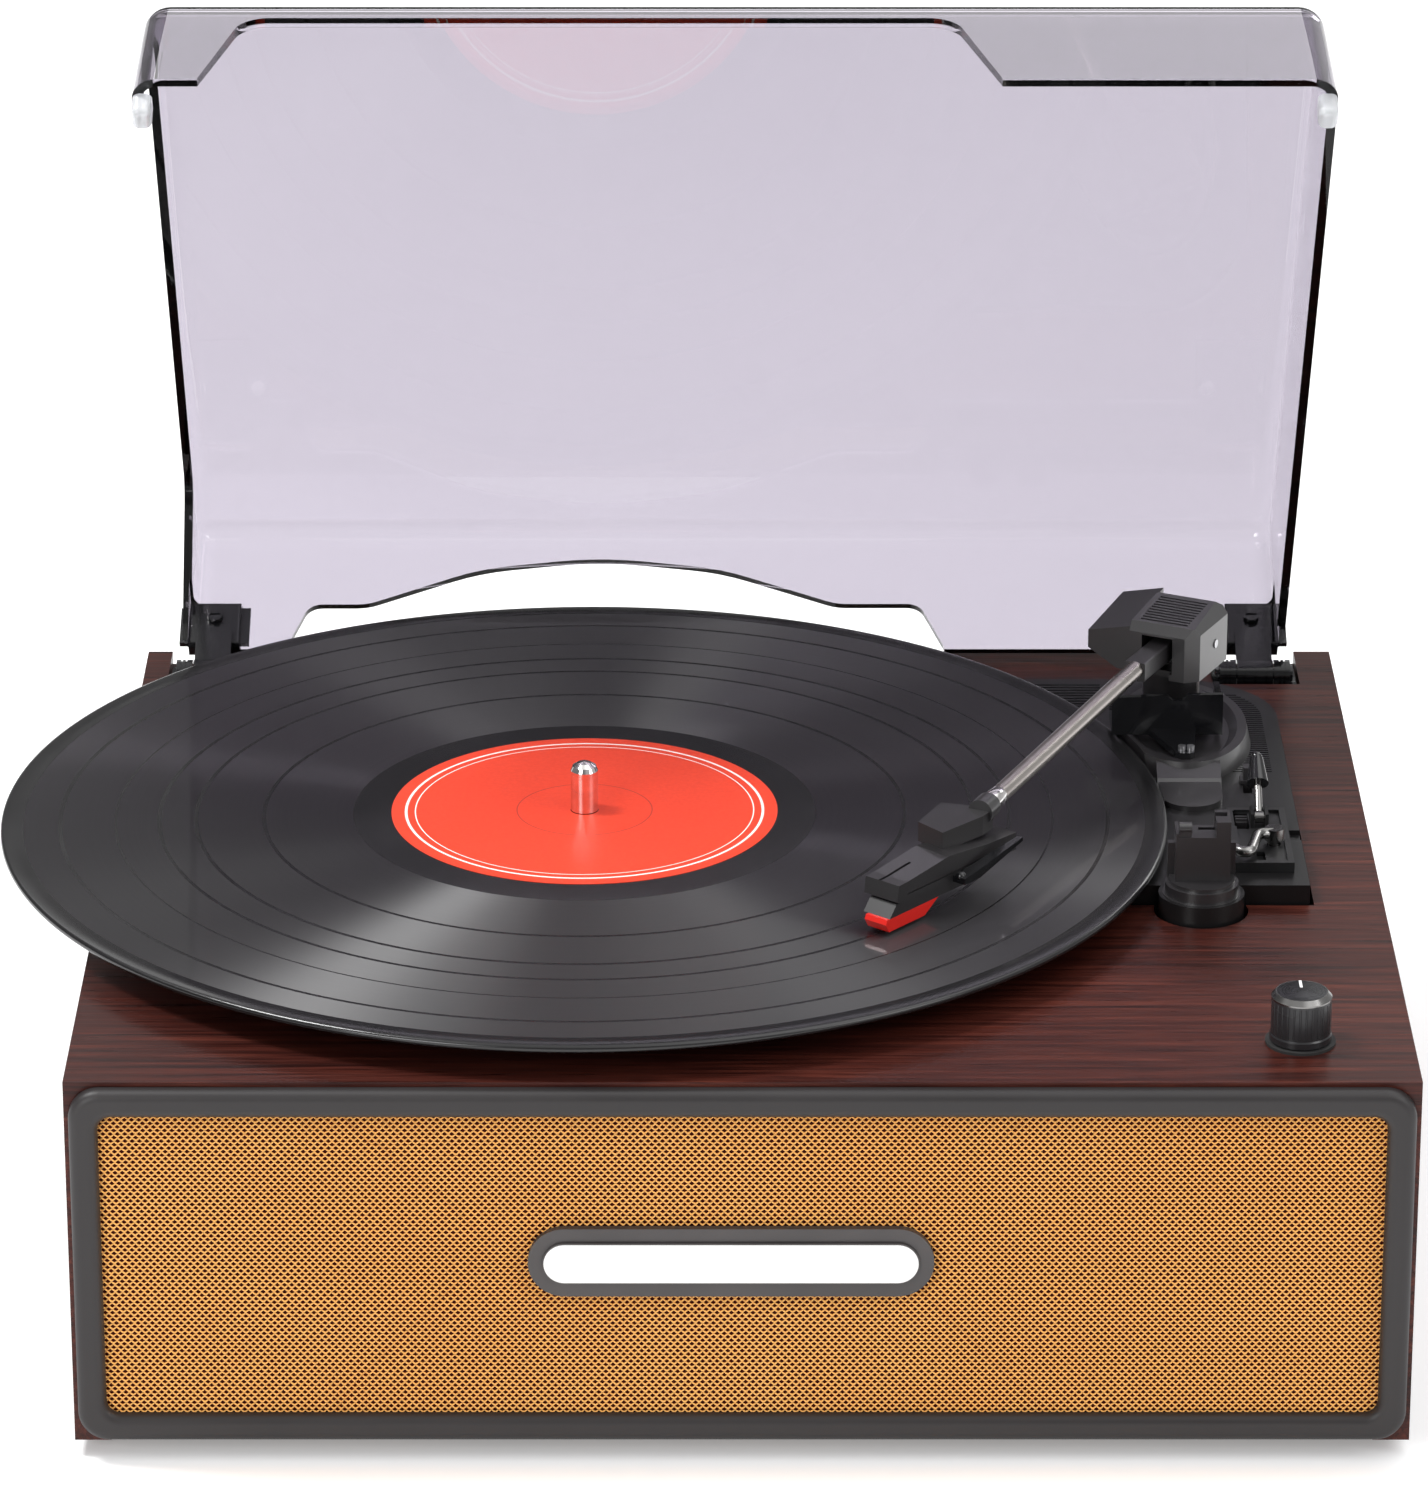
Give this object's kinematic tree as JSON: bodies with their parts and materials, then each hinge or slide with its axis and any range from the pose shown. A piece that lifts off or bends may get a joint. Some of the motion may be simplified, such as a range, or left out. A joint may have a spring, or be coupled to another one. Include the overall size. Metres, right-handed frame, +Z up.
{
  "type": "turntable record player",
  "caption": "Table-top turntable with a wood cabinet, cloth speaker front, belt-driven platter with a record, pivoting tonearm, control levers, volume knob and an open smoked hinged cover.",
  "frame": {"origin": "centre of the whole object's footprint, on the surface it stands on, cover open", "axes": "+X to the right seen from the front, +Y to the back, +Z up"},
  "size_m": [0.3546, 0.3278, 0.3068],
  "materials": {
    "mahogany_wood": "satin",
    "fibreboard": "matte",
    "frame_plastic": "satin",
    "grille_fabric": "matte",
    "badge_plastic": "satin",
    "foot_rubber": "matte",
    "screw_steel": "satin",
    "deck_plastic": "satin",
    "black_plastic": "gloss",
    "motor_metal": "satin",
    "cone_paper": "matte",
    "circuit_board": "satin",
    "platter_metal": "satin",
    "mat_rubber": "matte",
    "vinyl": "gloss",
    "label_paper": "satin",
    "polished_steel": "polished",
    "hook_metal": "satin",
    "red_plastic": "gloss",
    "needle_tip": "polished",
    "knob_plastic": "gloss",
    "smoked_clear": "gloss",
    "bumper_clear": "satin"
  },
  "bodies": {
    "cabinet": {"cabinet_top_board": "mahogany_wood", "cabinet_left_board": "mahogany_wood", "cabinet_right_board": "mahogany_wood", "cabinet_bottom_board": "fibreboard", "cabinet_rear_board": "fibreboard", "speaker_baffle": "fibreboard", "grille_frame": "frame_plastic", "grille_cloth": "grille_fabric", "grille_badge": "badge_plastic", "rubber_feet": "foot_rubber", "fastening_screws": "screw_steel", "deck_plate": "deck_plastic", "deck_clamps": "deck_plastic", "platter_bearing": "deck_plastic", "drive_motor": "motor_metal", "drive_belt": "foot_rubber", "arm_base": "deck_plastic", "arm_bush": "screw_steel", "arm_shield": "deck_plastic", "arm_rest": "deck_plastic", "control_panel": "deck_plastic", "switch_bodies": "deck_plastic", "speaker_baskets": "motor_metal", "speaker_cones": "cone_paper", "amplifier_board": "circuit_board", "rear_jack_plate": "deck_plastic", "line_out_sockets": "motor_metal", "aux_in_socket": "black_plastic", "power_inlet": "black_plastic", "volume_potentiometer": "motor_metal", "volume_washer": "black_plastic", "hinge_bases": "black_plastic", "hinge_pins": "screw_steel"},
    "platter": {"platter": "platter_metal", "spindle": "polished_steel", "platter_mat": "mat_rubber", "record": "vinyl", "record_label": "label_paper"},
    "motor_pulley": {"motor_pulley": "screw_steel"},
    "arm_housing": {"arm_housing": "black_plastic", "arm_pivot_screws": "screw_steel", "arm_turret": "black_plastic"},
    "tonearm": {"arm_carrier": "black_plastic", "arm_tube": "polished_steel", "arm_coupling": "black_plastic", "headshell": "black_plastic", "finger_lift": "black_plastic", "cartridge": "black_plastic", "stylus_holder": "red_plastic", "stylus_needle": "needle_tip"},
    "arm_lifter": {"arm_lifter": "screw_steel"},
    "cue_lever": {"cue_lever": "screw_steel", "cue_lever_grip": "black_plastic"},
    "arm_hook_lever": {"arm_hook_lever": "hook_metal"},
    "speed_switch": {"speed_switch": "deck_plastic"},
    "auto_stop_switch": {"auto_stop_switch": "deck_plastic"},
    "volume_knob": {"volume_knob": "knob_plastic"},
    "dust_cover": {"dust_cover": "smoked_clear", "cover_hinge_leaves": "black_plastic", "cover_bumpers": "bumper_clear"}
  },
  "joints": [
    {"name": "platter_spin", "type": "hinge", "parent": "cabinet", "child": "platter", "pos_m": [-0.02655, -0.00834, 0.1], "axis": [0, 0, 1], "continuous": true},
    {"name": "pulley_spin", "type": "hinge", "parent": "cabinet", "child": "motor_pulley", "pos_m": [-0.07855, 0.04566, 0.1], "axis": [0, 0, 1], "continuous": true},
    {"name": "arm_swing", "type": "hinge", "parent": "cabinet", "child": "arm_housing", "pos_m": [0.12905, 0.05846, 0.1305], "axis": [0, 0, 1], "range_deg": [-18.9, 26.8]},
    {"name": "arm_lift", "type": "hinge", "parent": "arm_housing", "child": "tonearm", "pos_m": [0.13037, 0.06116, 0.1305], "axis": [-0.8988, 0.4384, 0], "range_deg": [0, 2]},
    {"name": "lifter_slide", "type": "slide", "parent": "cabinet", "child": "arm_lifter", "axis": [0, 0, 1], "range_m": [0, 0.00011]},
    {"name": "cue_lever_tilt", "type": "hinge", "parent": "cabinet", "child": "cue_lever", "pos_m": [0.14785, -0.01294, 0.1089], "axis": [1, 0, 0], "range_deg": [0, 31]},
    {"name": "hook_swing", "type": "hinge", "parent": "cabinet", "child": "arm_hook_lever", "pos_m": [0.15085, -0.02644, 0.1099], "axis": [0, 0, 1], "range_deg": [-25, 20]},
    {"name": "speed_slide", "type": "slide", "parent": "cabinet", "child": "speed_switch", "axis": [0, 1, 0], "range_m": [-0.0023, 0.0028]},
    {"name": "auto_stop_slide", "type": "slide", "parent": "cabinet", "child": "auto_stop_switch", "axis": [0, 1, 0], "range_m": [-0.0055, 0.0032]},
    {"name": "volume_turn", "type": "hinge", "parent": "cabinet", "child": "volume_knob", "pos_m": [0.14965, -0.13594, 0.108], "axis": [0, 0, 1], "range_deg": [-140, 140]},
    {"name": "cover_hinge", "type": "hinge", "parent": "cabinet", "child": "dust_cover", "pos_m": [0.01225, 0.11206, 0.1005], "axis": [1, 0, 0], "range_deg": [0, 57.3]}
  ],
  "couplings": [
    {"joint": "pulley_spin", "follows": "platter_spin", "ratio": 11.11},
    {"joint": "lifter_slide", "follows": "arm_lift", "m_per_rad": 0.003},
    {"joint": "cue_lever_tilt", "follows": "arm_lift", "ratio": 15.49}
  ]
}
